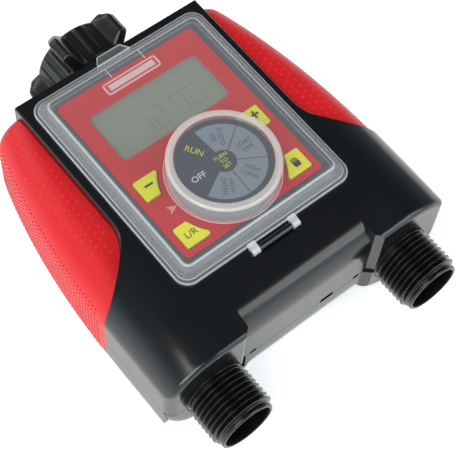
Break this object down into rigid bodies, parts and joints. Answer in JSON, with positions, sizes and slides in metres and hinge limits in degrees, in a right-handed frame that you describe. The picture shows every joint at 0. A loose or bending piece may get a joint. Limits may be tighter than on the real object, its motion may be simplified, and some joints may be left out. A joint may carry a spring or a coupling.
{
  "type": "drip irrigation timer",
  "caption": "Hose-thread watering timer with a swivel tap inlet, threaded outlets, red side grips, mode dial, keys and display under a clear hinged lid.",
  "frame": {"origin": "on the flat back of the housing, on the middle plane, below the centre of the lid", "axes": "+X right, +Y towards the tap inlet (outlets point along -Y), +Z out of the control panel"},
  "size_m": [0.1376, 0.177, 0.0707],
  "materials": {
    "black_plastic": "satin moulded, fine texture",
    "red_grip": "soft overmould, raised dots",
    "grey_plastic": "fine matt",
    "red_panel": "smooth satin",
    "clear_window": "clear polished",
    "display_grey": "liquid crystal glass, grey-green",
    "badge_silver": "printed foil, plain",
    "board_green": "solder mask",
    "steel": "bright zinc",
    "white_plastic": "smooth",
    "yellow_key": "soft matt",
    "dial_print": "printed, matt",
    "clear_plastic": "clear polished",
    "outlet_plastic": "satin moulded",
    "valve_plastic": "natural moulded nylon",
    "black_rubber": "moulded",
    "coil_tape": "wound wire with tape",
    "spring_steel": "plated wire",
    "nut_plastic": "matt moulded",
    "filter_mesh": "woven mesh on a cone",
    "cell_sleeve": "plain printed sleeve"
  },
  "bodies": {
    "housing": {"front_housing": "black_plastic", "rear_housing": "black_plastic", "left_grip": "red_grip", "right_grip": "red_grip", "panel_bezel": "grey_plastic", "control_panel": "red_panel", "display_window": "clear_window", "display_module": "display_grey", "display_frame": "grey_plastic", "panel_badge": "badge_silver", "control_board": "board_green", "board_screws": "steel", "board_spacers": "white_plastic", "key_switches": "steel", "rotary_switch": "black_plastic", "hinge_pin": "steel", "left_outlet": "outlet_plastic", "right_outlet": "outlet_plastic", "left_valve_body": "valve_plastic", "right_valve_body": "valve_plastic", "left_diaphragm": "black_rubber", "right_diaphragm": "black_rubber", "left_bonnet": "valve_plastic", "right_bonnet": "valve_plastic", "left_coil": "coil_tape", "right_coil": "coil_tape", "left_plunger_spring": "spring_steel", "right_plunger_spring": "spring_steel", "inlet_stem": "outlet_plastic", "inlet_washer": "black_rubber", "inlet_filter": "filter_mesh", "manifold": "valve_plastic", "manifold_seals": "black_rubber", "outlet_seals": "black_rubber", "battery_tray": "nut_plastic", "battery_cover": "nut_plastic", "batteries": "cell_sleeve", "battery_plates": "steel", "battery_springs": "spring_steel", "housing_screws": "steel"},
    "lid": {"lid": "clear_plastic"},
    "dial": {"dial_shaft": "white_plastic", "dial_knob": "grey_plastic", "dial_disc": "dial_print"},
    "minus_key": {"minus_button": "yellow_key"},
    "plus_key": {"plus_button": "yellow_key"},
    "outlet_key": {"outlet_button": "yellow_key"},
    "manual_key": {"manual_button": "yellow_key"},
    "nut": {"inlet_nut": "nut_plastic"},
    "left_armature": {"left_plunger": "steel"},
    "right_armature": {"right_plunger": "steel"}
  },
  "joints": [
    {"name": "lid_hinge", "type": "hinge", "parent": "housing", "child": "lid", "pos_m": [0, -0.0519, 0.0556], "axis": [1, 0, 0], "range_deg": [0, 100]},
    {"name": "dial_turn", "type": "hinge", "parent": "housing", "child": "dial", "pos_m": [0, -0.0203, 0.06], "axis": [0, 0, 1], "continuous": true},
    {"name": "nut_swivel", "type": "hinge", "parent": "housing", "child": "nut", "pos_m": [0, 0.07, 0.026], "axis": [0, 1, 0], "continuous": true},
    {"name": "minus_press", "type": "slide", "parent": "housing", "child": "minus_key", "axis": [0, 0, -1], "range_m": [0, 0.0008], "stiffness_N_per_m": 600, "springref_m": -0.0005},
    {"name": "plus_press", "type": "slide", "parent": "housing", "child": "plus_key", "axis": [0, 0, -1], "range_m": [0, 0.0008], "stiffness_N_per_m": 600, "springref_m": -0.0005},
    {"name": "outlet_press", "type": "slide", "parent": "housing", "child": "outlet_key", "axis": [0, 0, -1], "range_m": [0, 0.0008], "stiffness_N_per_m": 600, "springref_m": -0.0005},
    {"name": "manual_press", "type": "slide", "parent": "housing", "child": "manual_key", "axis": [0, 0, -1], "range_m": [0, 0.0008], "stiffness_N_per_m": 600, "springref_m": -0.0005},
    {"name": "left_plunger_lift", "type": "slide", "parent": "housing", "child": "left_armature", "axis": [0, 0, 1], "range_m": [0, 0.002], "stiffness_N_per_m": 150, "springref_m": -0.001, "deforming": ["left_plunger_spring"]},
    {"name": "right_plunger_lift", "type": "slide", "parent": "housing", "child": "right_armature", "axis": [0, 0, 1], "range_m": [0, 0.002], "stiffness_N_per_m": 150, "springref_m": -0.001, "deforming": ["right_plunger_spring"]}
  ]
}
